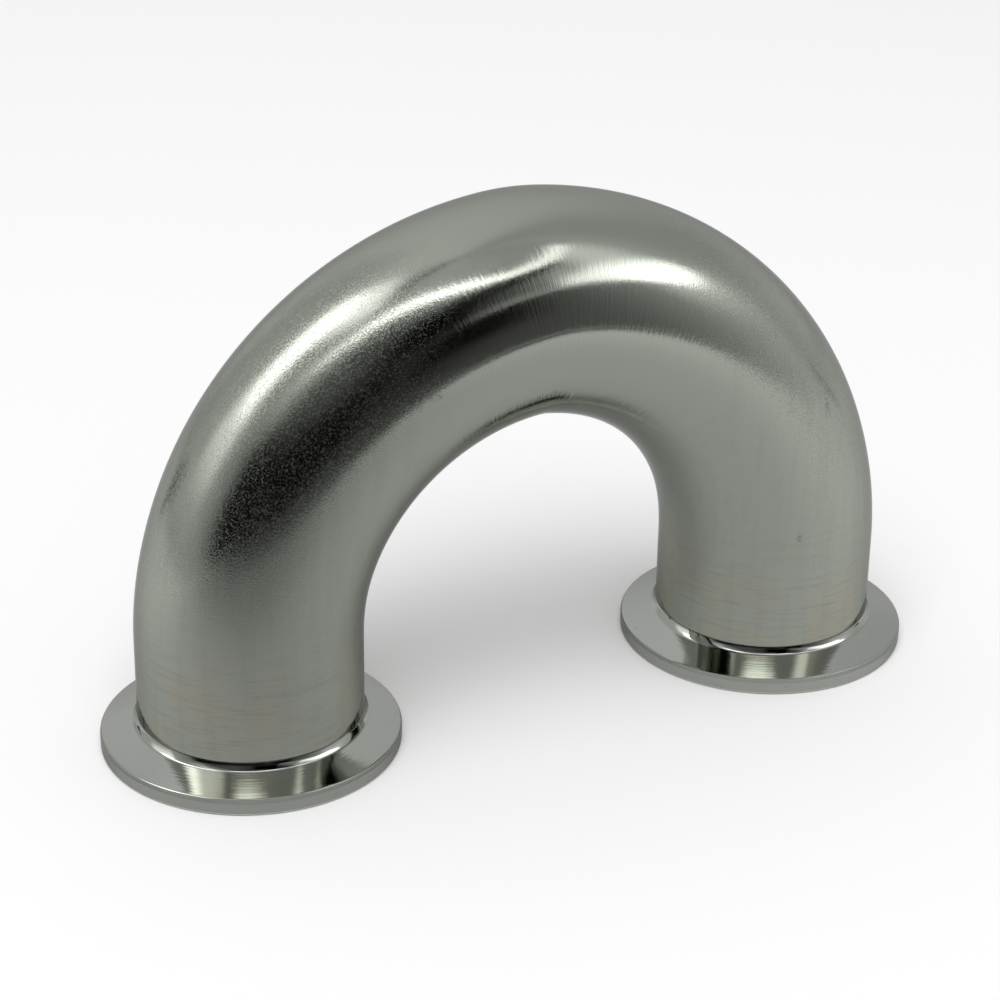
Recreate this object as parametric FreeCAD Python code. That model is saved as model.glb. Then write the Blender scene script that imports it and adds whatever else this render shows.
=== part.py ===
import FreeCAD, Part
import math
import os

# Sanitary clamp u-bend: two bent tube elbows butt-welded at the crown, with a turned
# clamp ferrule butt-welded to the foot of each leg. Millimetres, +Z up, legs along Z.
# The origin is midway between the two legs, in the plane of the two sealing faces.

# The tube
tube_od = 38.0
tube_wall = 1.5
bend_radius = 51.7  # of the elbows' centreline
bend_flattening = 0.5  # bending left the tube this much narrower in its plane, and wider across
flattening_turn = 20.0  # degrees of bend over which the round end becomes oval
elbow_shortfall = 3.0  # degrees by which each elbow was cut short of a quarter turn
crown_crook = 7.0  # inner radius of the crown, where its weld was dressed smooth
elbow_straight = 6.8  # plain round tube between the ferrule's weld and the bend

# The ferrule, from its sealing face upwards
ferrule_length = 12.7
flange_reach = 6.25  # how far the flange stands out past the tube
rim_height = 2.85  # of the flange at its edge
back_slope = 20.0  # degrees of the flange's back, which the clamp pulls on
neck_fillet = 1.3
rim_back_round = 0.2
rim_face_round = 0.5

# The groove in the sealing face, which takes the gasket's bead
groove_inset = 3.45  # from the flange's edge to the middle of the groove
groove_depth = 1.6
groove_section_radius = 2.35

section_step = 7.0  # degrees, at most, between the sections that the bend is lofted through
quarter_turn = 90.0
half_turn = 180.0
full_turn = 360.0

tube_radius = tube_od / 2
bore_radius = tube_radius - tube_wall
flange_radius = tube_radius + flange_reach
groove_radius = flange_radius - groove_inset
bend_start = ferrule_length + elbow_straight

# The two elbows' centrelines are arcs whose centres lie off the crown plane, so they would
# meet there in a point. A smaller arc of crown_radius joins them tangentially instead.
centre_offset = bend_radius * math.sin(math.radians(elbow_shortfall))
leg_x = bend_radius - centre_offset
crown_radius = tube_radius + crown_crook
radius_step = bend_radius - crown_radius
main_turn = math.degrees(math.acos(centre_offset / radius_step))
crown_turn = quarter_turn - main_turn
crown_centre_z = bend_start + radius_step * math.sin(math.radians(main_turn))

up = FreeCAD.Vector(0, 0, 1)
across = FreeCAD.Vector(0, 1, 0)
origin = FreeCAD.Vector(0, 0, 0)


def on_profile(radius, height):
    """A point of a turned piece's half-section."""
    return FreeCAD.Vector(radius, 0, height)


def rounded_outline(corners):
    """A closed wire through (point, radius) corners, each rounded by a tangent arc of its radius."""
    stretches = []
    for index, (corner, radius) in enumerate(corners):
        if radius == 0:
            stretches.append((corner, None, corner))
            continue
        back = (corners[index - 1][0] - corner).normalize()
        ahead = (corners[(index + 1) % len(corners)][0] - corner).normalize()
        half_angle = back.getAngle(ahead) / 2
        setback = radius / math.tan(half_angle)
        inward = (back + ahead).normalize()
        crest = corner + inward * (radius / math.sin(half_angle) - radius)
        stretches.append((corner + back * setback, crest, corner + ahead * setback))
    edges = []
    for index, (start, crest, end) in enumerate(stretches):
        if crest is not None:
            edges.append(Part.Arc(start, crest, end).toShape())
        next_start = stretches[(index + 1) % len(stretches)][0]
        edges.append(Part.LineSegment(end, next_start).toShape())
    return Part.Wire(edges)


def ferrule():
    """A turned clamp ferrule standing on its sealing face, with its axis on Z."""
    neck_height = rim_height + flange_reach * math.tan(math.radians(back_slope))
    half_section = rounded_outline(
        [
            (on_profile(bore_radius, 0), 0),
            (on_profile(flange_radius, 0), rim_face_round),
            (on_profile(flange_radius, rim_height), rim_back_round),
            (on_profile(tube_radius, neck_height), neck_fillet),
            (on_profile(tube_radius, ferrule_length), 0),
            (on_profile(bore_radius, ferrule_length), 0),
        ]
    )
    body = Part.Face(half_section).revolve(origin, up, full_turn)
    groove_centre = on_profile(0, groove_depth - groove_section_radius)
    groove = Part.makeTorus(groove_radius, groove_section_radius, groove_centre, up)
    return body.cut(groove)


def oval_section(turn, inset):
    """The outline of the left elbow after so many degrees of bend, set in from the tube's outside."""
    progress = min(turn / flattening_turn, 1.0)
    eased = progress * progress * (3 - 2 * progress)
    stretch = FreeCAD.Matrix()
    stretch.scale(
        tube_radius - inset - eased * bend_flattening / 2,
        tube_radius - inset + eased * bend_flattening / 2,
        1,
    )
    outline = Part.Wire(Part.makeCircle(1, origin, up)).transformGeometry(stretch)
    outline.translate(FreeCAD.Vector(-leg_x, 0, bend_start))
    outline.rotate(FreeCAD.Vector(centre_offset, 0, bend_start), across, turn)
    return outline


def straight_length():
    """The elbow's round end, from the ferrule's weld to the start of the bend."""
    weld_centre = FreeCAD.Vector(-leg_x, 0, ferrule_length)
    outside = Part.makeCylinder(tube_radius, elbow_straight, weld_centre, up)
    return outside.cut(Part.makeCylinder(bore_radius, elbow_straight, weld_centre, up))


def main_bend():
    """The long arc of the elbow, lofted inside and out through sections that turn from round to oval."""
    steps = math.ceil(main_turn / section_step)
    turns = [main_turn * step / steps for step in range(steps + 1)]
    outside = Part.makeLoft([oval_section(turn, 0) for turn in turns], True)
    return outside.cut(Part.makeLoft([oval_section(turn, tube_wall) for turn in turns], True))


def crown_bend():
    """The elbow's last few degrees, up to the crown weld."""
    ring = Part.Face(oval_section(main_turn, 0)).cut(Part.Face(oval_section(main_turn, tube_wall)))
    return ring.revolve(FreeCAD.Vector(0, 0, crown_centre_z), across, crown_turn)


def elbow():
    """The left elbow, open at both ends."""
    return straight_length().multiFuse([main_bend(), crown_bend()])


def on_other_leg(piece):
    """The same piece, half a turn about the Z axis away."""
    twin = piece.copy()
    twin.rotate(origin, up, half_turn)
    return twin


def main():
    left_elbow = elbow()
    left_ferrule = ferrule()
    left_ferrule.translate(FreeCAD.Vector(-leg_x, 0, 0))
    pieces = {
        "elbow_left": left_elbow,
        "elbow_right": on_other_leg(left_elbow),
        "ferrule_left": left_ferrule,
        "ferrule_right": on_other_leg(left_ferrule),
    }
    os.makedirs("parts", exist_ok=True)
    for name, piece in pieces.items():
        solid = piece.Solids[0]
        solid.exportStep(os.path.join("parts", name + ".step"))
        print(name, len(piece.Solids), "solid, valid", solid.isValid(), "volume", round(solid.Volume, 1))
    print("leg spacing", round(2 * leg_x, 3), "crown centreline", round(crown_centre_z + crown_radius, 3))


main()
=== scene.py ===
import math

import bmesh
import bpy
from mathutils import Matrix, Vector


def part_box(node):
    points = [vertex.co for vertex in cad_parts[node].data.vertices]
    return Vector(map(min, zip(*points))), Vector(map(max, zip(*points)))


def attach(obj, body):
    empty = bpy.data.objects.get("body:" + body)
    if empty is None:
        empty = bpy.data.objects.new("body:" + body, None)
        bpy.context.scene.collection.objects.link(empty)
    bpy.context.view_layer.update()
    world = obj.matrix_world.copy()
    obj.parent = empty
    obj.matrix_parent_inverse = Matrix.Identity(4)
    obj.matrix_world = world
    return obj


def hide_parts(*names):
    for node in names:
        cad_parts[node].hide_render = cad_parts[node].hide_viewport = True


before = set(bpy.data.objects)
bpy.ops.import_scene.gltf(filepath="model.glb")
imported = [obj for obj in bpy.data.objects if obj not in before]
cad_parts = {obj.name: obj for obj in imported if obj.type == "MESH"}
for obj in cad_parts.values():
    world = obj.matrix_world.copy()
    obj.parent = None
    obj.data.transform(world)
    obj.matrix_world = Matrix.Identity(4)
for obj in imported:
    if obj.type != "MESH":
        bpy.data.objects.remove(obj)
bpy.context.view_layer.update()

print("frame loaded")


class Signal:
    # a number or vector that varies over a surface; its operators add Math nodes
    def __init__(self, graph, socket):
        self.graph = graph
        self.socket = socket

    def math(self, operation, *values):
        return self.graph.node("ShaderNodeMath", {"operation": operation}, dict(enumerate(values)))

    def __add__(self, other):
        return self.math("ADD", self, other)

    def __radd__(self, other):
        return self.math("ADD", other, self)

    def __sub__(self, other):
        return self.math("SUBTRACT", self, other)

    def __rsub__(self, other):
        return self.math("SUBTRACT", other, self)

    def __mul__(self, other):
        return self.math("MULTIPLY", self, other)

    def __rmul__(self, other):
        return self.math("MULTIPLY", other, self)

    def __truediv__(self, other):
        return self.math("DIVIDE", self, other)

    def __pow__(self, other):
        return self.math("POWER", self, other)

    def absolute(self):
        return self.math("ABSOLUTE", self)

    def atLeast(self, other):
        return self.math("MAXIMUM", self, other)

    def atMost(self, other):
        return self.math("MINIMUM", self, other)


class Graph:
    # the nodes of one material or of the world
    def __init__(self, owner):
        self.owner = owner
        owner.use_nodes = True
        owner.node_tree.nodes.clear()

    def node(self, kind, settings=None, inputs=None, output=0):
        made = self.owner.node_tree.nodes.new(kind)
        for name, value in (settings or {}).items():
            if name == "stops":
                ramp = made.color_ramp.elements
                while len(ramp) < len(value):
                    ramp.new(0.5)
                for stop, (position, shade) in zip(ramp, value):
                    stop.position = position
                    stop.color = shade
            else:
                setattr(made, name, value)
        for name, value in (inputs or {}).items():
            if isinstance(value, Signal):
                self.owner.node_tree.links.new(value.socket, made.inputs[name])
            else:
                made.inputs[name].default_value = value
        return Signal(self, made.outputs[output]) if len(made.outputs) else None

    def place(self):
        return self.node("ShaderNodeTexCoord", output="Object")

    def parts(self, vector):
        # the three numbers of a vector
        return [self.node("ShaderNodeSeparateXYZ", {}, {0: vector}, axis) for axis in range(3)]

    def vector(self, x, y, z):
        return self.node("ShaderNodeCombineXYZ", {}, {0: x, 1: y, 2: z})

    def vectorMath(self, operation, *values):
        # a length is a number, and the node's second output
        output = 1 if operation == "LENGTH" else 0
        settings = {"operation": operation}
        return self.node("ShaderNodeVectorMath", settings, dict(enumerate(values)), output)

    def noise(self, vector, plan):
        inputs = {
            "Vector": vector,
            "Scale": 1.0,
            "Detail": plan["detail"],
            "Roughness": plan["roughness"],
        }
        return self.node("ShaderNodeTexNoise", {"normalize": True}, inputs)

    def layer(self, place, plan):
        # noise at the plan's own scale along each axis
        return self.noise(self.vectorMath("MULTIPLY", place, plan["scale"]), plan)

    def relief(self, place, plan):
        return self.layer(place, plan) * plan["height"]

    def spots(self, place, plan):
        # the plan's share, wherever its noise is high enough
        return self.rise(self.layer(place, plan), *plan["cover"]) * plan["share"]

    def bump(self, height):
        # the normal of a surface with this relief in metres
        inputs = {"Strength": 1.0, "Distance": 1.0, "Height": height}
        return self.node("ShaderNodeBump", {}, inputs)

    def rise(self, value, start, end):
        # from 0 at start to 1 at end, eased at both
        inputs = {"Value": value, "From Min": start, "From Max": end, "To Min": 0.0, "To Max": 1.0}
        return self.node("ShaderNodeMapRange", {"interpolation_type": "SMOOTHSTEP"}, inputs)

    def curve(self, value, points):
        # straight lines through (place, height) points, level outside them
        start, span = points[0][0], points[-1][0] - points[0][0]
        low = min(height for place, height in points)
        reach = max(height for place, height in points) - low
        stops = []
        for place, height in points:
            share = (height - low) / reach
            stops.append(((place - start) / span, colour(share, share, share)))
        ramp = self.node("ShaderNodeValToRGB", {"stops": stops}, {0: (value - start) / span})
        return ramp * reach + low

    def grey(self, value):
        return self.node("ShaderNodeCombineColor", {}, {0: value, 1: value, 2: value})

    def blend(self, factor, first, second):
        # a colour between two colours
        inputs = {0: factor, 6: first, 7: second}
        return self.node("ShaderNodeMix", {"data_type": "RGBA"}, inputs, 2)

    def blendNormals(self, factor, first, second):
        inputs = {0: factor, 4: first, 5: second}
        return self.node("ShaderNodeMix", {"data_type": "VECTOR"}, inputs, 1)

    def surface(self, shader, output="ShaderNodeOutputMaterial"):
        self.node(output, {}, {"Surface": shader})
        return self.owner


def colour(red, green, blue):
    return (red, green, blue, 1.0)


# sizes that the frame gives
ferruleLow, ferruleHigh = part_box("ferrule_left")
elbowLow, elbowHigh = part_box("elbow_left")
legX = -(ferruleLow.x + ferruleHigh.x) / 2
flangeRadius = (ferruleHigh.x - ferruleLow.x) / 2
weldHeight = ferruleHigh.z
tubeRadius = -elbowLow.x - legX

tube = {
    "wall": 0.0015,
    "bendRadius": 0.0517,
    "flattening": 0.0005,  # the bend's section is this much narrower in its plane, and wider across
    "flatteningTurn": math.radians(20),
    "crownCrook": 0.007,  # inner radius of the crown, where the weld was dressed
    "straight": 0.0068,
    "segments": 192,
    "straightRows": 5,
    "bendRows": 72,
    "crownRows": 10,
}
bendStart = weldHeight + tube["straight"]
centreOffset = tube["bendRadius"] - legX
crownRadius = tubeRadius + tube["crownCrook"]
radiusStep = tube["bendRadius"] - crownRadius
mainTurn = math.acos(centreOffset / radiusStep)
crownCentreZ = bendStart + radiusStep * math.sin(mainTurn)


# the brushed tube. A zone's two figures are where it begins and where it is full. A noise has its
# scale along each axis, and then the height of its relief, or what of it counts and the share
# that this takes
satin = {
    "colour": colour(0.5, 0.529, 0.467),
    "warmColour": colour(0.537, 0.512, 0.417),  # heat tint left near the lower welds
    "wornColour": colour(0.33, 0.345, 0.30),
    "grazingTint": colour(0.6, 0.6, 0.6),
    "roughness": 0.09,
    "smoothRoughness": 0.055,
    "dressed": (0.038, 0.012),  # round the crown weld, by the distance from it
    "smoothBelow": (0.040, 0.022),
    "smoothInside": (0.004, -0.006),  # on the bend's inner side, outwards from the centreline
    "insideShare": 0.8,
    "turnedBelow": (0.024, 0.017),  # the foot was turned smooth beside the ferrule's weld
    "grainLost": {"dressed": 0.75, "smooth": 0.7, "turned": 0.8},
    "brushElsewhere": 0.15,  # how much of the crown's cross grain the rest of the tube has
    "flareTop": 0.02,  # below this the dressed wall leans out towards the flange
    "flare": 2.6,
    "grain": {"scale": (3000, 3000, 3000), "detail": 2.5, "roughness": 0.6, "height": 0.00002},
    "brush": {"scale": (2600, 90, 90), "detail": 3.0, "roughness": 0.65, "height": 0.00002},
    "scratches": {"scale": (70, 70, 2400), "detail": 3.0, "roughness": 0.7, "height": 0.000007},
    "waves": {"scale": (55, 55, 55), "detail": 2.0, "roughness": 0.45, "height": 0.00006},
    "patches": {"scale": (120, 120, 120), "detail": 3.0, "roughness": 0.55, "swing": 0.06},
    "sparkle": {
        "scale": (3600, 3600, 3600),
        "detail": 2.0,
        "roughness": 0.7,
        "cover": (0.4, 0.7),
        "share": 0.34,
    },
    "warmBelow": (0.03, 0.014),
    "warmPatches": (0.42, 0.62),
    "warmShare": 0.7,
    "dashes": {
        "scale": (130, 130, 2600),
        "detail": 3.0,
        "roughness": 0.7,
        "cover": (0.46, 0.7),
        "share": 0.38,
    },
    "dashedBelow": (0.04, 0.012),
    "streaks": {
        "scale": (500, 500, 30),
        "detail": 2.0,
        "roughness": 0.6,
        "cover": (0.4, 0.75),
        "share": 0.16,
    },
    "pits": {
        "scale": (1300, 1300, 1300),
        "detail": 1.5,
        "roughness": 0.5,
        "cover": (0.73, 0.79),
        "share": 0.5,
    },
    "ragged": {
        "scale": (1500, 1500, 1500),
        "detail": 3.0,
        "roughness": 0.7,
        "cover": (0.46, 0.56),
        "share": 0.85,
    },
    "markEdge": (1.1, 0.5),
    # nicks and rubbed spots: the middle, and the reach along each axis
    "marks": [
        ((-0.0289, -0.0142, 0.0755), (0.0007, 0.0016, 0.0016)),
        ((-0.0353, -0.0139, 0.0718), (0.0006, 0.0016, 0.0012)),
        ((-0.0238, -0.0192, 0.0655), (0.0016, 0.004, 0.0006)),
        ((-0.0266, -0.0191, 0.0646), (0.0006, 0.004, 0.0013)),
        ((-0.0607, -0.0012, 0.0500), (0.004, 0.0022, 0.0055)),
        ((0.0447, -0.0187, 0.0272), (0.0006, 0.004, 0.0009)),
        ((0.0496, -0.0168, 0.0507), (0.0009, 0.004, 0.0035)),
    ],
}
noiseMiddle = 0.5


def worn(graph, place):
    # how far each place belongs to one of the marks
    marked = 0.0
    for middle, reach in satin["marks"]:
        apart = graph.vectorMath("SUBTRACT", place, middle)
        near = graph.vectorMath("MULTIPLY", apart, tuple(1 / length for length in reach))
        marked = graph.rise(graph.vectorMath("LENGTH", near), *satin["markEdge"]) + marked
    return marked * graph.spots(place, satin["ragged"])


def bendCoordinates(x, z):
    # how far along the centreline from the start of the bend, and how far outwards from it
    rise = (z - bendStart).atLeast(0.0)
    reach = x.absolute() + centreOffset
    swing = (rise * rise + reach * reach) ** 0.5
    turn = rise.math("ARCTAN2", rise, reach)
    along = turn * tube["bendRadius"] + (z - bendStart).atMost(0.0)
    return along, swing - tube["bendRadius"]


def satinFinish(graph):
    # colour, roughness and normal of the brushed tube
    place = graph.place()
    x, y, z = graph.parts(place)
    along, outward = bendCoordinates(x, z)
    dressed = graph.rise(x.absolute(), *satin["dressed"])
    plain = 1.0 - dressed
    inside = graph.rise(outward, *satin["smoothInside"]) * satin["insideShare"]
    smooth = graph.rise(z, *satin["smoothBelow"]).atLeast(inside)
    turned = graph.rise(z, *satin["turnedBelow"])
    lost = satin["grainLost"]
    grainShare = (
        (1.0 - dressed * lost["dressed"])
        * (1.0 - smooth * lost["smooth"])
        * (1.0 - turned * lost["turned"])
    )
    brushShare = dressed * (1.0 - satin["brushElsewhere"]) + satin["brushElsewhere"]
    height = (
        graph.relief(place, satin["grain"]) * grainShare
        + graph.relief(place, satin["scratches"]) * smooth
        + (satin["flareTop"] - z).atLeast(0.0) ** 2.0 * satin["flare"]
        + graph.relief(graph.vector(along, outward, y), satin["brush"]) * brushShare
        + graph.relief(place, satin["waves"])
    )

    patches = graph.layer(place, satin["patches"])
    ground = satin["roughness"] + smooth * (satin["smoothRoughness"] - satin["roughness"])
    roughness = (
        ground
        + (patches - noiseMiddle) * satin["patches"]["swing"]
        + graph.spots(place, satin["sparkle"]) * grainShare
    )

    warmPatches = graph.rise(patches, *satin["warmPatches"])
    warm = graph.rise(z, *satin["warmBelow"]) * warmPatches * satin["warmShare"]
    wear = (
        graph.spots(place, satin["dashes"]) * graph.rise(z, *satin["dashedBelow"])
        + graph.spots(place, satin["streaks"]) * plain
        + graph.spots(place, satin["pits"]) * plain
        + worn(graph, place)
    )
    shade = graph.blend(warm, satin["colour"], satin["warmColour"])
    shade = graph.blend(wear.atMost(1.0), shade, satin["wornColour"])
    return shade, roughness, graph.bump(height)


def steel(graph, shade, roughness, normal):
    inputs = {
        "Base Color": shade,
        "Metallic": 1.0,
        "Roughness": roughness,
        "Specular Tint": satin["grazingTint"],
        "Normal": normal,
    }
    return graph.surface(graph.node("ShaderNodeBsdfPrincipled", {}, inputs))


# the turned ferrule, which is polished up to the weld's dressed wall
polished = {
    "colour": colour(0.56, 0.583, 0.538),
    "roughness": 0.06,
    "top": 0.0063,  # where the satin begins
    "topBlur": 0.00004,
    "slopeFrom": (0.0022, 0.0029),  # the rings and the dishing begin above the rim's edge
    "dishing": math.tan(math.radians(4)),  # the turned slope lies this much flatter than its cone
    "rings": {"scale": 4200, "drift": 60, "detail": 2.0, "roughness": 0.6, "height": 0.000008},
    "smudge": {"scale": (260, 260, 260), "detail": 3.0, "roughness": 0.6, "swing": 0.05},
    "scuffs": {
        "scale": (800, 800, 800),
        "detail": 3.0,
        "roughness": 0.7,
        "cover": (0.62, 0.76),
        "share": 0.45,
    },
}


def ferruleMaterial():
    graph = Graph(bpy.data.materials.new("polishedSteel"))
    place = graph.place()
    x, y, z = graph.parts(place)
    fromAxis = x.absolute() - legX
    radius = (fromAxis * fromAxis + y * y) ** 0.5
    slope = graph.rise(z, *polished["slopeFrom"])
    rings = polished["rings"]
    turning = graph.vector(
        radius * rings["scale"] + x * rings["drift"], y * rings["drift"], z * rings["scale"]
    )
    height = graph.noise(turning, rings) * rings["height"] * slope
    turned = graph.bump(height + radius * slope * polished["dishing"])
    smudge = (graph.layer(place, polished["smudge"]) - noiseMiddle) * polished["smudge"]["swing"]
    bare = graph.blend(
        graph.spots(place, polished["scuffs"]), polished["colour"], satin["wornColour"]
    )

    shade, roughness, normal = satinFinish(graph)
    isSatin = graph.rise(
        z, polished["top"] - polished["topBlur"], polished["top"] + polished["topBlur"]
    )
    return steel(
        graph,
        graph.blend(isSatin, bare, shade),
        roughness * isSatin + (polished["roughness"] + smudge) * (1.0 - isSatin),
        graph.blendNormals(isSatin, turned, normal),
    )


tubeGraph = Graph(bpy.data.materials.new("satinSteel"))
satinSteel = steel(tubeGraph, *satinFinish(tubeGraph))
polishedSteel = ferruleMaterial()
print("finishes made")


def sectionPlaces(inset):
    # where a unit circle goes for each row of the left elbow, from the ferrule's weld to the crown
    places = []
    for row in range(tube["straightRows"]):
        z = weldHeight + tube["straight"] * row / tube["straightRows"]
        size = tubeRadius - inset
        places.append(Matrix.Translation((-legX, 0, z)) @ Matrix.Diagonal((size, size, 1, 1)))
    for row in range(tube["bendRows"]):
        places.append(turnedSection(mainTurn * row / tube["bendRows"], inset))
    for row in range(tube["crownRows"] + 1):
        share = row / tube["crownRows"]
        share = share * (2 - share)  # the rows crowd towards the weld
        places.append(crownSection(mainTurn + (math.pi / 2 - mainTurn) * share, inset))
    return places


def ovalOf(turn, inset):
    # the section's size, which eases from round to oval as the bend takes hold
    progress = min(turn / tube["flatteningTurn"], 1.0)
    eased = progress * progress * (3 - 2 * progress) * tube["flattening"] / 2
    size = tubeRadius - inset
    return Matrix.Diagonal((size - eased, size + eased, 1, 1))


def turnedSection(turn, inset):
    pivot = Matrix.Translation((centreOffset, 0, bendStart)) @ Matrix.Rotation(turn, 4, "Y")
    return pivot @ Matrix.Translation((-tube["bendRadius"], 0, 0)) @ ovalOf(turn, inset)


def crownSection(turn, inset):
    pivot = Matrix.Translation((0, 0, crownCentreZ)) @ Matrix.Rotation(turn, 4, "Y")
    return pivot @ Matrix.Translation((-crownRadius, 0, 0)) @ ovalOf(turn, inset)


def growSkin(bm, places):
    # a tube wall through the rows; gives the edges of its first and last rings
    before = set(bm.edges)
    bmesh.ops.create_circle(bm, segments=tube["segments"], radius=1.0, matrix=places[0])
    first = [edge for edge in bm.edges if edge not in before]
    ring = first
    for old, new in zip(places, places[1:]):
        grown = bmesh.ops.extrude_edge_only(bm, edges=ring)["geom"]
        corners = {part for part in grown if isinstance(part, bmesh.types.BMVert)}
        ring = [
            part for part in grown
            if isinstance(part, bmesh.types.BMEdge) and corners.issuperset(part.verts)
        ]
        bmesh.ops.transform(bm, matrix=new @ old.inverted(), verts=list(corners))
    return first, ring


def asMesh(bm, name):
    mesh = bpy.data.meshes.new(name)
    bm.to_mesh(mesh)
    bm.free()
    return mesh


def leftElbow():
    bm = bmesh.new()
    outsideFoot, outsideCrown = growSkin(bm, sectionPlaces(0.0))
    insideFoot, insideCrown = growSkin(bm, sectionPlaces(tube["wall"]))
    bmesh.ops.bridge_loops(bm, edges=outsideFoot + insideFoot)
    bmesh.ops.bridge_loops(bm, edges=outsideCrown + insideCrown)
    bmesh.ops.recalc_face_normals(bm, faces=bm.faces)
    for face in bm.faces:
        face.smooth = True
    for edge in outsideFoot + outsideCrown + insideFoot + insideCrown:
        edge.smooth = False
    return asMesh(bm, "tube_left")


halfTurn = Matrix.Rotation(math.pi, 4, "Z")


def finishPair(mesh, kind, node, material):
    # the left piece, and its twin half a turn about Z away
    mesh.materials.append(material)
    twin = mesh.copy()
    twin.name = kind + "_right"
    twin.transform(halfTurn)
    for side, shape in (("left", mesh), ("right", twin)):
        piece = bpy.data.objects.new(kind + "_" + side, shape)
        bpy.context.scene.collection.objects.link(piece)
        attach(piece, "root")
        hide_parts(node + "_" + side)


finishPair(leftElbow(), "tube", "elbow", satinSteel)
print("elbows made")

ferrule = {
    "rimHeight": 0.00285,
    "backSlope": math.radians(20),
    "lipHeight": 0.00605,  # where the satin wall ends
    "neckTop": math.radians(22),  # from upright, as the neck leaves the lip
    "neckFoot": math.radians(42),  # and as it comes down to the slope
    "neckTurn": 0.00065,  # from the lip to the corner between the two
    "neckSpread": 0.94,  # the share of neckTurn over which that corner is rounded
    "neckSegments": 5,
    "neckFillet": 0.00068,
    "neckFilletSegments": 6,
    "rimBackRound": 0.0006,
    "rimBackSegments": 4,
    "rimFaceRound": 0.0005,
    "rimFaceSegments": 5,
    "grooveInset": 0.00345,
    "grooveDepth": 0.0016,
    "grooveSection": 0.00235,
    "grooveSteps": 14,
    "guard": 0.00003,  # rings this far from a rounding keep the plain faces plain
    "tolerance": 0.000005,
}
leftAxis = Vector((-legX, 0, 0))
bore = tubeRadius - tube["wall"]
grooveRadius = flangeRadius - ferrule["grooveInset"]
grooveBelow = ferrule["grooveSection"] - ferrule["grooveDepth"]
grooveOpening = math.sqrt(ferrule["grooveSection"] ** 2 - grooveBelow**2)


def neckCorners():
    # radius and height where the neck turns, and where it meets the flange's slope
    slopeRise = math.tan(ferrule["backSlope"])
    neckRadius = tubeRadius + ferrule["neckTurn"] * math.sin(ferrule["neckTop"])
    neckHeight = ferrule["lipHeight"] - ferrule["neckTurn"] * math.cos(ferrule["neckTop"])
    drop = neckHeight - ferrule["rimHeight"] - (flangeRadius - neckRadius) * slopeRise
    reach = drop / (1 / math.tan(ferrule["neckFoot"]) - slopeRise)
    foot = (neckRadius + reach, neckHeight - reach / math.tan(ferrule["neckFoot"]))
    return (neckRadius, neckHeight), foot


def turnFerrule(bm, corners):
    # the groove's arc and then the corners, spun about the left leg's axis
    start = bm.verts.new(leftAxis + Vector((grooveRadius - grooveOpening, 0, 0)))
    bmesh.ops.spin(
        bm,
        geom=[start],
        cent=leftAxis + Vector((grooveRadius, 0, -grooveBelow)),
        axis=(0, 1, 0),
        angle=2 * math.asin(grooveOpening / ferrule["grooveSection"]),
        steps=ferrule["grooveSteps"],
    )
    last = max(bm.verts, key=lambda vert: vert.co.x)
    for radius, height in corners:
        corner = bm.verts.new(leftAxis + Vector((radius, 0, height)))
        bm.edges.new((last, corner))
        last = corner
    bm.edges.new((last, start))
    bmesh.ops.spin(
        bm,
        geom=list(bm.verts) + list(bm.edges),
        cent=leftAxis,
        axis=(0, 0, 1),
        angle=2 * math.pi,
        steps=tube["segments"],
        use_merge=True,
    )
    bmesh.ops.remove_doubles(bm, verts=bm.verts, dist=0.000001)


def ringAt(bm, radius, height):
    found = []
    for edge in bm.edges:
        if all(
            abs((vert.co - leftAxis).xy.length - radius) < ferrule["tolerance"]
            and abs(vert.co.z - height) < ferrule["tolerance"]
            for vert in edge.verts
        ):
            found.append(edge)
    return found


def leftFerrule():
    neck, foot = neckCorners()
    face = (flangeRadius, 0)
    back = (flangeRadius, ferrule["rimHeight"])
    lip = (tubeRadius, ferrule["lipHeight"])
    weldOutside, weldInside = (tubeRadius, weldHeight), (bore, weldHeight)
    bm = bmesh.new()
    turnFerrule(bm, [face, back, foot, neck, lip, weldOutside, weldInside, (bore, 0)])

    # how far each rounding reaches from its corner
    backTurn = math.pi / 2 - ferrule["backSlope"]
    backReach = ferrule["rimBackRound"] * math.tan(backTurn / 2)
    footReach = ferrule["neckFillet"] * math.tan((backTurn - ferrule["neckFoot"]) / 2)
    neckReach = ferrule["neckTurn"] * ferrule["neckSpread"]
    roundings = [
        (face, ferrule["rimFaceRound"], ferrule["rimFaceSegments"]),
        (back, backReach, ferrule["rimBackSegments"]),
        (foot, footReach, ferrule["neckFilletSegments"]),
        (neck, neckReach, ferrule["neckSegments"]),
    ]
    for corner, reach, segments in roundings:
        bmesh.ops.bevel(
            bm,
            geom=ringAt(bm, *corner),
            offset=reach,
            affect="EDGES",
            segments=segments,
            profile=0.5,
            material=-1,
        )

    guard = ferrule["guard"]
    slope = math.sin(ferrule["backSlope"])
    heights = [
        ferrule["rimFaceRound"] + guard,
        ferrule["rimHeight"] - backReach - guard,
        ferrule["rimHeight"] + (backReach + guard * 2) * slope,
        foot[1] - (footReach + guard * 2) * slope,
        ferrule["lipHeight"] - guard,
        ferrule["lipHeight"] + guard,
        weldHeight - guard,
    ]
    for height in heights:
        bmesh.ops.bisect_plane(
            bm,
            geom=list(bm.verts) + list(bm.edges) + list(bm.faces),
            dist=0.0000001,
            plane_co=(0, 0, height),
            plane_no=(0, 0, 1),
        )
    bmesh.ops.recalc_face_normals(bm, faces=bm.faces)
    for side in bm.faces:
        side.smooth = True
    grooveEdges = [(grooveRadius - grooveOpening, 0), (grooveRadius + grooveOpening, 0)]
    for corner in grooveEdges + [(bore, 0), weldInside, weldOutside, lip]:
        for edge in ringAt(bm, *corner):
            edge.smooth = False
    return asMesh(bm, "flange_left")


finishPair(leftFerrule(), "flange", "ferrule", polishedSteel)
print("ferrules made")


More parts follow.
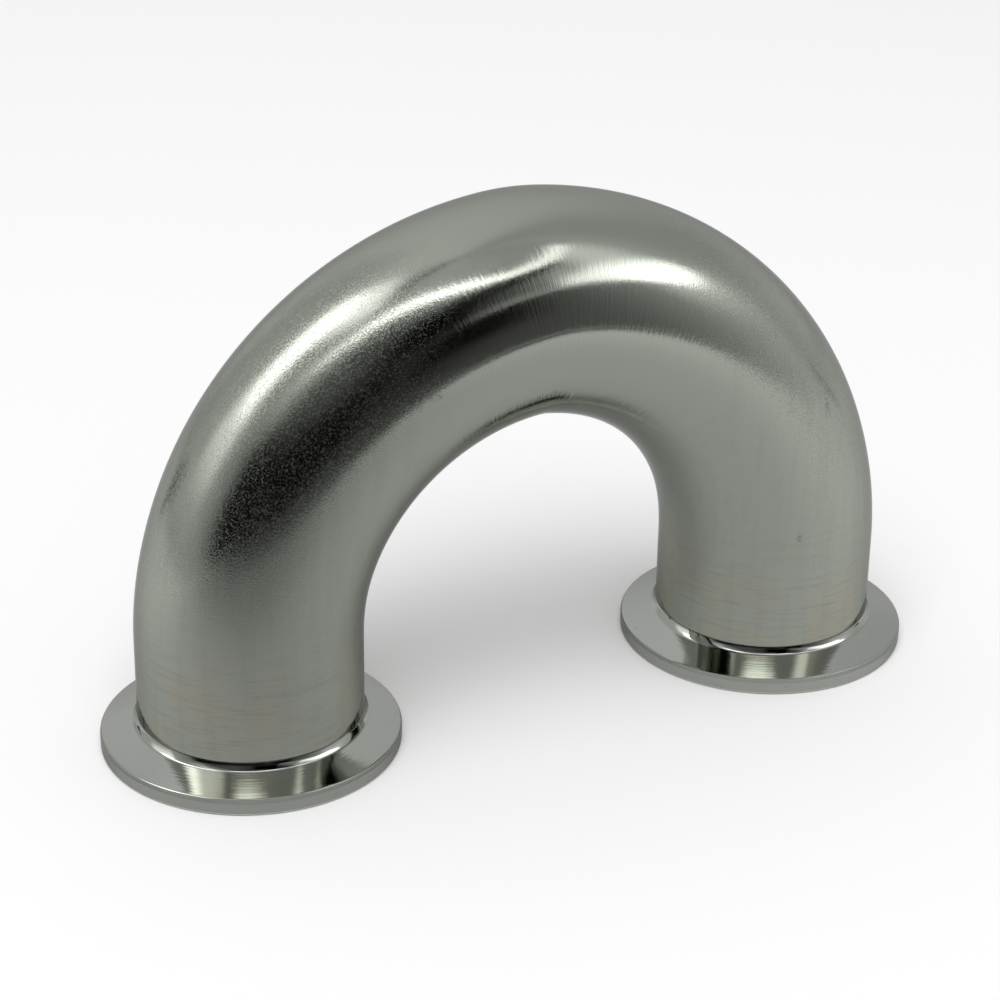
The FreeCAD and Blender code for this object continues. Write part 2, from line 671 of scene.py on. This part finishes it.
def stageObject(bm, name, material):
    mesh = asMesh(bm, name)
    mesh.materials.append(material)
    made = bpy.data.objects.new(name, mesh)
    bpy.context.scene.collection.objects.link(made)
    return made


floorSheet = {"reach": 3.0, "colour": colour(0.95, 0.95, 0.95), "roughness": 0.9}


def makeFloor():
    graph = Graph(bpy.data.materials.new("floorPaper"))
    inputs = {"Base Color": floorSheet["colour"], "Roughness": floorSheet["roughness"]}
    paper = graph.surface(graph.node("ShaderNodeBsdfPrincipled", {}, inputs))
    bm = bmesh.new()
    bmesh.ops.create_grid(bm, x_segments=1, y_segments=1, size=floorSheet["reach"])
    stageObject(bm, "floor", paper)


makeFloor()

middle = Vector((0, 0, 0.05))
keyLamp = {"place": (-0.5, -0.7, 1.9), "size": 1.6, "energy": 26.0}


def makeKeyLamp():
    light = bpy.data.lights.new("keyLamp", "AREA")
    light.size = keyLamp["size"]
    light.energy = keyLamp["energy"]
    lamp = bpy.data.objects.new("keyLamp", light)
    lamp.location = keyLamp["place"]
    lamp.rotation_euler = (middle - lamp.location).to_track_quat("-Z", "Y").to_euler()
    lamp.visible_glossy = False  # the steel shows the studio's strips and window instead
    bpy.context.scene.collection.objects.link(lamp)


makeKeyLamp()

# tone of the dark room in front of the table, by azimuth
frontRoom = [
    (-86, 0.16), (-40, 0.13), (0, 0.1), (15, 0.11), (30, 0.2), (42, 0.44), (54, 0.66), (70, 0.86),
]
# the studio round the object, as only its steel shows it. Azimuth 0 is in front, 90 on the right.
# A patch lies between borders, which are fixed or (place, height) curves, and each later patch
# covers the earlier; "soft" gives the widths over which its left, right, lower and upper
# borders fade
studio = {
    "distance": 2.9,
    "foot": 0.0006,  # the dome begins just above the table's sheet
    "rows": 32,
    "segments": 96,
    "level": 0.58,  # the room round the table is dimmer than the paper
    "paper": 0.66,  # and so is the paper's own mirror image, but less
    "tableEdge": -0.3,  # beyond this the steel sees the room's dark floor
    "patches": {
        "walls": {
            "tone": [
                (-180, 1.03), (-174, 1.0), (-166, 0.84), (-158, 0.76), (-140, 0.80), (-110, 0.78),
                (-95, 0.63), (-84, 0.42), (80, 0.78), (92, 0.68), (112, 0.69), (125, 0.8),
                (142, 0.94), (180, 1.02),
            ],
        },
        "backLow": {"right": -158, "upper": 26, "soft": (0, 10, 0, 12), "tone": 1.08},
        "sideLow": {"left": 80, "right": 165, "upper": 26, "soft": (30, 15, 0, 20), "tone": 1.02},
        "ceilingLeft": {"right": -104, "lower": 46, "soft": (0, 26, 24, 0), "tone": 1.04},
        "ceiling": {
            "left": -70,
            "right": 70,
            "lower": 62,
            "soft": (12, 20, 8, 0),
            "tone": [(-60, 0.8), (-40, 0.85), (-15, 0.85), (10, 0.78), (60, 0.66)],
        },
        "tail": {
            "left": -131,
            "right": -99,
            "lower": 4,
            "upper": 36,
            "soft": (9, 4, 18, 4),
            "tone": 1.9,
        },
        "wallGlow": {
            "left": -94,
            "right": -66,
            "lower": 28,
            "upper": 60,
            "soft": (12, 8, 10, 10),
            "tone": 0.85,
        },
        "stripGlow": {
            "left": -106,
            "right": -96,
            "lower": 28,
            "upper": 60,
            "soft": (3, 8, 10, 10),
            "tone": 0.95,
        },
        "panel": {
            "left": -136,
            "right": -62,
            "lower": [(-134, 45), (-115, 47), (-105, 49), (-90, 54), (-75, 58), (-65, 64)],
            "upper": [(-134, 74), (-110, 78), (-95, 77), (-75, 74)],
            "soft": (9, 14, 8, 9),
            "tone": [(-134, 1.3), (-122, 2.9), (-105, 3.2), (-95, 3), (-80, 2.6), (-65, 1.6)],
        },
        "leftStrip": {
            "left": [(25, -121), (34, -124), (45, -129), (55, -132), (66, -130)],
            "right": [(25, -107), (32, -105), (50, -104), (60, -105), (66, -108)],
            "lower": 24,
            "upper": 68,
            "soft": (5, 1.5, 10, 10),
            "tone": 5.0,
        },
        "leftStripTop": {
            "left": -127,
            "right": -111,
            "lower": 50,
            "upper": 63,
            "soft": (4, 2, 5, 4),
            "tone": 7.5,
        },
        "front": {
            "left": [
                (0, -90), (15, -86), (25, -82), (32, -76), (40, -66), (47, -60), (54, -54),
            ],
            "right": 36,
            "upper": [
                (-86, 36), (-75, 44), (-65, 50), (-55, 56), (-45, 61), (-30, 62), (-15, 61),
                (0, 58), (20, 54),
            ],
            "soft": (16, 8, 0, 14),
            "tone": [(-60, 0.14), (-40, 0.16), (-28, 0.1), (-10, 0.06)],
        },
        "frontLow": {
            "left": -84,
            "right": -4,
            "upper": 34,
            "soft": (12, 10, 0, 14),
            "tone": 0.008,
        },
        "room": {
            "left": 4,
            "right": 84,
            "upper": 28.5,
            "soft": (16, 12, 0, 2),
            "tone": frontRoom,
        },
        "gap": {
            "left": -10,
            "right": 38,
            "lower": 40,
            "upper": 54.5,
            "soft": (8, 4, 5, 2),
            "tone": 0.03,
        },
        "core": {
            "left": -26,
            "right": 5,
            "lower": 24,
            "upper": 50,
            "soft": (10, 1, 12, 5),
            "tone": 0.0,
        },
        "coreRight": {
            "left": -6,
            "right": 22,
            "lower": 4,
            "upper": 29,
            "soft": (8, 9, 12, 1),
            "tone": 0.006,
        },
        "ramp": {
            "left": 5,
            "right": 37,
            "lower": 28,
            "upper": [(5, 44), (20, 48), (34, 53)],
            "soft": (1, 3, 1, 6),
            "tone": [(5, 0.07), (12, 0.13), (20, 0.3), (30, 0.9)],
        },
        "rampGlow": {
            "left": 2,
            "right": 36,
            "lower": 28.5,
            "upper": 37,
            "soft": (8, 4, 1, 5),
            "tone": [(4, 0.28), (14, 0.5), (24, 0.6), (30, 1.2)],
        },
        "windowGlow": {
            "left": 36,
            "right": 82,
            "lower": 36,
            "upper": 64,
            "soft": (8, 14, 8, 10),
            "tone": [(42, 1.1), (52, 1.5), (62, 1.5), (76, 0.9)],
        },
        "windowFoot": {
            "left": 46,
            "right": 82,
            "lower": 8,
            "upper": 34,
            "soft": (10, 14, 16, 6),
            "tone": 1.15,
        },
        "overhead": {
            "left": -80,
            "right": 66,
            "lower": [
                (-78, 41), (-70, 45), (-62, 51), (-55, 55), (-45, 58.5), (-30, 60.6), (-15, 59.4),
                (0, 56.8), (10, 53), (20, 51.5), (40, 53), (60, 57),
            ],
            "upper": [
                (-78, 50), (-70, 57), (-62, 63), (-55, 66), (-45, 68.7), (-30, 69.8), (-15, 69),
                (0, 66.5), (10, 62), (20, 60), (40, 64), (60, 68),
            ],
            "soft": (6, 8, 3, 5),
            "tone": [
                (-78, 1.8), (-66, 4), (-50, 6), (-20, 6), (5, 6), (14, 4.6), (24, 3.4), (35, 3.2),
                (60, 3.2),
            ],
        },
        "window": {
            "left": 26,
            "right": 78,
            "lower": [(28, 30.5), (45, 28), (60, 23.3), (68, 23.8), (78, 29.5)],
            "upper": [(28, 42), (45, 45), (60, 45), (70, 42), (78, 38)],
            "soft": (4, 7, 1.5, 10),
            "tone": [(28, 2.5), (42, 3.2), (50, 4.4), (70, 4.4), (77, 3.2)],
        },
    },
}


def studioTone(graph, azimuth, elevation):
    tone = 1.0
    for patch in studio["patches"].values():
        cover = 1.0
        borders = (
            ("left", azimuth, elevation, 1),
            ("right", azimuth, elevation, -1),
            ("lower", elevation, azimuth, 1),
            ("upper", elevation, azimuth, -1),
        )
        for (name, value, beside, way), soft in zip(borders, patch.get("soft", (0, 0, 0, 0))):
            edge = patch.get(name)
            if edge is None:
                continue
            if isinstance(edge, list):
                edge = graph.curve(beside, edge)
            cover = graph.rise((value - edge) * way, 0.0, soft) * cover
        shade = patch["tone"]
        if isinstance(shade, list):
            shade = graph.curve(azimuth, shade)
        tone = tone * (1.0 - cover) + cover * shade
    return tone


def glowMaterial(graph, tone, cover=None):
    # light of this tone, and clear where cover is 0
    inputs = {"Color": graph.grey(tone), "Strength": studio["level"]}
    glow = graph.node("ShaderNodeEmission", {}, inputs)
    if cover is not None:
        paper = colour(studio["paper"], studio["paper"], studio["paper"])
        clear = graph.node("ShaderNodeBsdfTransparent", {}, {"Color": paper})
        glow = graph.node("ShaderNodeMixShader", {}, {0: cover, 1: clear, 2: glow})
    material = graph.surface(glow)
    material.cycles.emission_sampling = "NONE"
    return material


def onlyForSteel(card):
    card.visible_camera = False
    card.visible_diffuse = False
    card.visible_shadow = False
    card.visible_transmission = False


def degreesOf(rise, run):
    return rise.math("ARCTAN2", rise, run) * (180 / math.pi)


def makeStudio():
    graph = Graph(bpy.data.materials.new("studioDome"))
    x, y, z = graph.parts(graph.place())
    azimuth = degreesOf(x, 0.0 - y)
    elevation = degreesOf(z - middle.z, (x * x + y * y) ** 0.5)
    dome = glowMaterial(graph, studioTone(graph, azimuth, elevation))
    bm = bmesh.new()
    foot = bm.verts.new((studio["distance"], 0, studio["foot"]))
    far = bm.verts.new((studio["distance"], 0, middle.z))
    bm.edges.new((foot, far))
    bmesh.ops.spin(
        bm, geom=[far], cent=middle, axis=(0, 1, 0), angle=-math.pi / 2, steps=studio["rows"]
    )
    bmesh.ops.spin(
        bm,
        geom=list(bm.verts) + list(bm.edges),
        cent=middle,
        axis=(0, 0, 1),
        angle=2 * math.pi,
        steps=studio["segments"],
        use_merge=True,
    )
    bmesh.ops.remove_doubles(bm, verts=bm.verts, dist=0.00001)
    onlyForSteel(stageObject(bm, "studioDome", dome))


makeStudio()

# what the steel sees on the paper: a painted shadow darkens it towards the table's front edge
tableTopAndShade = {
    "height": 0.0004,
    "paintedShadowY": (0.1, -0.15),
    "paintedShadowX": (0.16, -0.1),
    "paintedShadowShare": 0.66,
    "benchX": (-0.36, -0.5),  # the paper ends on the left, with the bench beyond
    "benchTone": 0.62,
    "edgeBlur": 0.01,
    "edgeShadowWidth": 0.07,  # of the painted shadow along the edge, a dark line
    "edgeShadowInset": 0.02,
    "edgeShadowTone": 0.0,
    "lipY": (0.14, 0.06),  # the room's floor just beyond the edge is lighter, nearer than this
    "lipX": (0.0, 0.1),
    "lipTone": 0.42,
}


def makeTableTopAndShade():
    graph = Graph(bpy.data.materials.new("tableTopAndShade"))
    x, y = graph.parts(graph.place())[:2]
    edge = studio["tableEdge"]
    # painted shadow on the paper's mirror image, towards the front and the left
    paintedShadow = (
        graph.rise(y, *tableTopAndShade["paintedShadowY"])
        * graph.rise(x, *tableTopAndShade["paintedShadowX"])
        * tableTopAndShade["paintedShadowShare"]
    )
    beyond = graph.rise(y, edge, edge - tableTopAndShade["edgeBlur"])
    # painted shadow in a dark line along the table's front edge
    fromEdgeShadow = (y - edge + tableTopAndShade["edgeShadowInset"]).absolute()
    edgeShadow = graph.rise(fromEdgeShadow, tableTopAndShade["edgeShadowWidth"] / 2, tableTopAndShade["edgeShadowWidth"] / 4)
    lip = (
        graph.rise(edge - y, *tableTopAndShade["lipY"])
        * graph.rise(x, *tableTopAndShade["lipX"])
        * tableTopAndShade["lipTone"]
    )
    bench = graph.rise(x, *tableTopAndShade["benchX"]) * (1.0 - beyond)
    room = graph.curve(degreesOf(x, 0.0 - y), frontRoom) + lip
    tone = (
        room * beyond * (1.0 - edgeShadow)
        + edgeShadow * tableTopAndShade["edgeShadowTone"]
        + bench * tableTopAndShade["benchTone"]
    )
    cover = paintedShadow.atLeast(beyond).atLeast(edgeShadow).atLeast(bench)
    bm = bmesh.new()
    bmesh.ops.create_grid(
        bm,
        x_segments=1,
        y_segments=1,
        size=studio["distance"],
        matrix=Matrix.Translation((0, 0, tableTopAndShade["height"])),
    )
    onlyForSteel(stageObject(bm, "tableTopAndShade", glowMaterial(graph, tone, cover)))


makeTableTopAndShade()

# dark stands in the room, of which the steel shows a streak
stands = {
    "left": {"from": (-0.20, 0.257, 0.0), "to": (-0.337, 0.368, 0.085), "width": 0.018},
    "right": {"from": (0.475, -0.003, 0.0), "to": (0.68, -0.09, 0.06), "width": 0.02},
}
standTone = 0.02


def makeStand(name, plan):
    start, end = Vector(plan["from"]), Vector(plan["to"])
    turn = (end - start).to_track_quat("Z", "Y").to_matrix().to_4x4()
    bm = bmesh.new()
    bmesh.ops.create_cone(
        bm,
        cap_ends=True,
        segments=12,
        radius1=plan["width"] / 2,
        radius2=plan["width"] / 4,
        depth=(end - start).length,
        matrix=Matrix.Translation((start + end) / 2) @ turn,
    )
    graph = Graph(bpy.data.materials.new("stand_" + name))
    onlyForSteel(stageObject(bm, "stand_" + name, glowMaterial(graph, standTone)))


for name, plan in stands.items():
    makeStand(name, plan)

roomLight = 0.62  # of the world on the floor and the object; seen directly it is white


def makeWorld():
    world = bpy.data.worlds.new("studio")
    bpy.context.scene.world = world
    graph = Graph(world)
    seen = graph.node("ShaderNodeLightPath", output="Is Camera Ray")
    mirrored = graph.node("ShaderNodeLightPath", output="Is Glossy Ray")
    through = graph.node("ShaderNodeLightPath", output="Is Transmission Ray")
    shown = seen.atLeast(mirrored).atLeast(through)
    strength = roomLight + shown * (1.0 - roomLight)
    inputs = {"Color": colour(1, 1, 1), "Strength": strength}
    graph.surface(graph.node("ShaderNodeBackground", {}, inputs), "ShaderNodeOutputWorld")
    world.cycles.sampling_method = "NONE"


makeWorld()
bpy.context.scene.view_settings.view_transform = "Standard"
print("stage set")

cameraPlan = {
    "target": (-0.0034954, 0, 0.0354469),
    "azimuth": math.radians(-25.2742),
    "elevation": math.radians(25.7416),
    "roll": math.radians(0.893),
    "distance": 0.4634382,
    "lens": 98.579,
    "sensor": 36,
    "clipStart": 0.01,
}


def makeCamera():
    azimuth, elevation = cameraPlan["azimuth"], cameraPlan["elevation"]
    roll = cameraPlan["roll"]
    back = Vector(
        (
            math.sin(azimuth) * math.cos(elevation),
            -math.cos(azimuth) * math.cos(elevation),
            math.sin(elevation),
        )
    )
    right = Vector((math.cos(azimuth), math.sin(azimuth), 0))
    upright = back.cross(right)
    turned = (
        right * math.cos(roll) + upright * math.sin(roll),
        upright * math.cos(roll) - right * math.sin(roll),
        back,
    )
    camera = bpy.data.objects.new("camera", bpy.data.cameras.new("camera"))
    camera.data.lens = cameraPlan["lens"]
    camera.data.sensor_width = cameraPlan["sensor"]
    camera.data.clip_start = cameraPlan["clipStart"]
    place = Matrix.Translation(Vector(cameraPlan["target"]) + back * cameraPlan["distance"])
    camera.matrix_world = place @ Matrix(turned).transposed().to_4x4()
    bpy.context.scene.collection.objects.link(camera)
    bpy.context.scene.camera = camera


makeCamera()

print("done")
